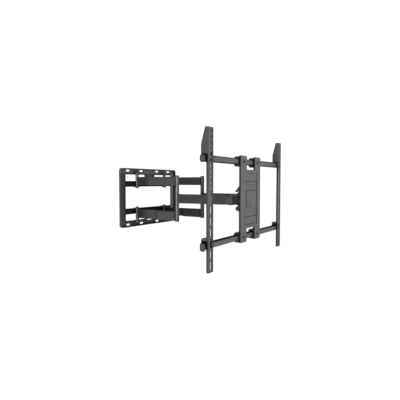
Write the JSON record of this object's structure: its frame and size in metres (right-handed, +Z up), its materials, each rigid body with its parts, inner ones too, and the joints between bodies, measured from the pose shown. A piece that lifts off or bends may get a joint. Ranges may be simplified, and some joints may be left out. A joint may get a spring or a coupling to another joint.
{
  "type": "full motion tv wall mount",
  "caption": "Dual-arm full motion TV wall mount: slotted wall frame, folding arm pairs, swivel and tilt head, H-shaped plate, cross tubes and hooked TV rails.",
  "frame": {"origin": "on the wall face of the wall plate, on the centre line of the solid bridge between the upper windows, 120 mm above the mid height of the arms", "axes": "+X to the right as seen from the room, +Y into the wall, +Z up"},
  "size_m": [0.866, 0.7047, 0.6325],
  "materials": {
    "wall_plate_coat": "matte black powder coat",
    "bracket_coat": "matte black powder coat",
    "arm_coat": "matte black powder coat",
    "post_coat": "satin black coat",
    "tv_plate_coat": "matte black powder coat",
    "tube_coat": "matte black powder coat",
    "rail_coat": "matte black powder coat",
    "fastener_steel": "black oxide steel",
    "cover_plastic": "matte",
    "washer_plastic": "matte",
    "trim_plastic": "matte"
  },
  "bodies": {
    "wall": {"wall_plate": "wall_plate_coat", "hinge_ear_left_upper_inner": "bracket_coat", "hinge_ear_left_upper_outer": "bracket_coat", "hinge_ear_left_lower_inner": "bracket_coat", "hinge_ear_left_lower_outer": "bracket_coat", "hinge_ear_right_upper_inner": "bracket_coat", "hinge_ear_right_upper_outer": "bracket_coat", "hinge_ear_right_lower_inner": "bracket_coat", "hinge_ear_right_lower_outer": "bracket_coat", "wall_pin_left_upper": "fastener_steel", "wall_pin_left_lower": "fastener_steel", "wall_pin_right_upper": "fastener_steel", "wall_pin_right_lower": "fastener_steel"},
    "first_left": {"arm_first_left_upper": "arm_coat", "arm_first_left_lower": "arm_coat", "elbow_pin_left": "post_coat", "elbow_sleeve_left_upper": "post_coat", "elbow_sleeve_left_lower": "post_coat", "cable_cover_left": "cover_plastic"},
    "first_right": {"arm_first_right_upper": "arm_coat", "arm_first_right_lower": "arm_coat", "elbow_pin_right": "post_coat", "elbow_sleeve_right_upper": "post_coat", "elbow_sleeve_right_lower": "post_coat", "cable_cover_right": "cover_plastic"},
    "second_left": {"arm_second_left": "arm_coat"},
    "second_right": {"arm_second_right": "arm_coat"},
    "head": {"head_carriage": "bracket_coat", "head_pin_left": "fastener_steel", "head_pin_right": "fastener_steel", "swivel_pin": "fastener_steel", "swivel_washer_upper": "washer_plastic", "swivel_washer_lower": "washer_plastic"},
    "yoke": {"swivel_yoke": "bracket_coat", "tilt_bolt_left": "fastener_steel", "tilt_bolt_right": "fastener_steel"},
    "tv_frame": {"tilt_frame": "bracket_coat", "tv_plate": "tv_plate_coat", "tube_upper": "tube_coat", "tube_lower": "tube_coat", "end_cap_left_upper": "trim_plastic", "end_cap_left_lower": "trim_plastic", "end_cap_right_upper": "trim_plastic", "end_cap_right_lower": "trim_plastic", "tube_clamp_left_upper": "bracket_coat", "tube_clamp_left_lower": "bracket_coat", "tube_clamp_right_upper": "bracket_coat", "tube_clamp_right_lower": "bracket_coat", "clamp_bolt_left_upper": "fastener_steel", "clamp_bolt_left_lower": "fastener_steel", "clamp_bolt_right_upper": "fastener_steel", "clamp_bolt_right_lower": "fastener_steel"},
    "rail_left": {"rail_left": "rail_coat"},
    "latch_left": {"latch_left": "trim_plastic"},
    "knob_left": {"tilt_knob_left": "trim_plastic"},
    "rail_right": {"rail_right": "rail_coat"},
    "latch_right": {"latch_right": "trim_plastic"},
    "knob_right": {"tilt_knob_right": "trim_plastic"}
  },
  "joints": [
    {"name": "fold_left", "type": "hinge", "parent": "wall", "child": "first_left", "pos_m": [-0.128, -0.019, -0.12], "axis": [0, 0, -1], "range_deg": [0, 70]},
    {"name": "fold_right", "type": "hinge", "parent": "wall", "child": "first_right", "pos_m": [0.128, -0.019, -0.12], "axis": [0, 0, 1], "range_deg": [0, 70.5]},
    {"name": "elbow_left", "type": "hinge", "parent": "first_left", "child": "second_left", "pos_m": [-0.128, -0.3145, -0.12], "axis": [0, 0, 1], "range_deg": [0, 136.3]},
    {"name": "elbow_right", "type": "hinge", "parent": "first_right", "child": "second_right", "pos_m": [0.128, -0.3145, -0.12], "axis": [0, 0, -1], "range_deg": [0, 136.3]},
    {"name": "head_left", "type": "hinge", "parent": "second_left", "child": "head", "pos_m": [-0.1, -0.636, -0.12], "axis": [0, 0, -1], "range_deg": [0, 66.3]},
    {"name": "swivel", "type": "hinge", "parent": "head", "child": "yoke", "pos_m": [0, -0.636, -0.12], "axis": [0, 0, 1], "range_deg": [-20, 20]},
    {"name": "tilt", "type": "hinge", "parent": "yoke", "child": "tv_frame", "pos_m": [0, -0.6852, -0.12], "axis": [1, 0, 0], "range_deg": [-5, 15]},
    {"name": "rail_left_slide", "type": "slide", "parent": "tv_frame", "child": "rail_left", "axis": [1, 0, 0], "range_m": [0, 0.25]},
    {"name": "rail_right_slide", "type": "slide", "parent": "tv_frame", "child": "rail_right", "axis": [-1, 0, 0], "range_m": [0, 0.25]},
    {"name": "latch_left_lift", "type": "slide", "parent": "rail_left", "child": "latch_left", "axis": [0, 0, 1], "range_m": [0, 0.012], "stiffness_N_per_m": 300, "springref_m": -0.005},
    {"name": "latch_right_lift", "type": "slide", "parent": "rail_right", "child": "latch_right", "axis": [0, 0, 1], "range_m": [0, 0.012], "stiffness_N_per_m": 300, "springref_m": -0.005},
    {"name": "knob_left_turn", "type": "hinge", "parent": "tv_frame", "child": "knob_left", "pos_m": [-0.0885, -0.6746, -0.1627], "axis": [-1, 0, 0], "continuous": true},
    {"name": "knob_right_turn", "type": "hinge", "parent": "tv_frame", "child": "knob_right", "pos_m": [0.0885, -0.6746, -0.1627], "axis": [1, 0, 0], "continuous": true}
  ],
  "couplings": [
    {"joint": "fold_right", "follows": "fold_left", "ratio": 1},
    {"joint": "elbow_left", "follows": "fold_left", "ratio": 1.94},
    {"joint": "elbow_right", "follows": "fold_left", "ratio": 1.94},
    {"joint": "head_left", "follows": "fold_left", "ratio": 0.94}
  ]
}
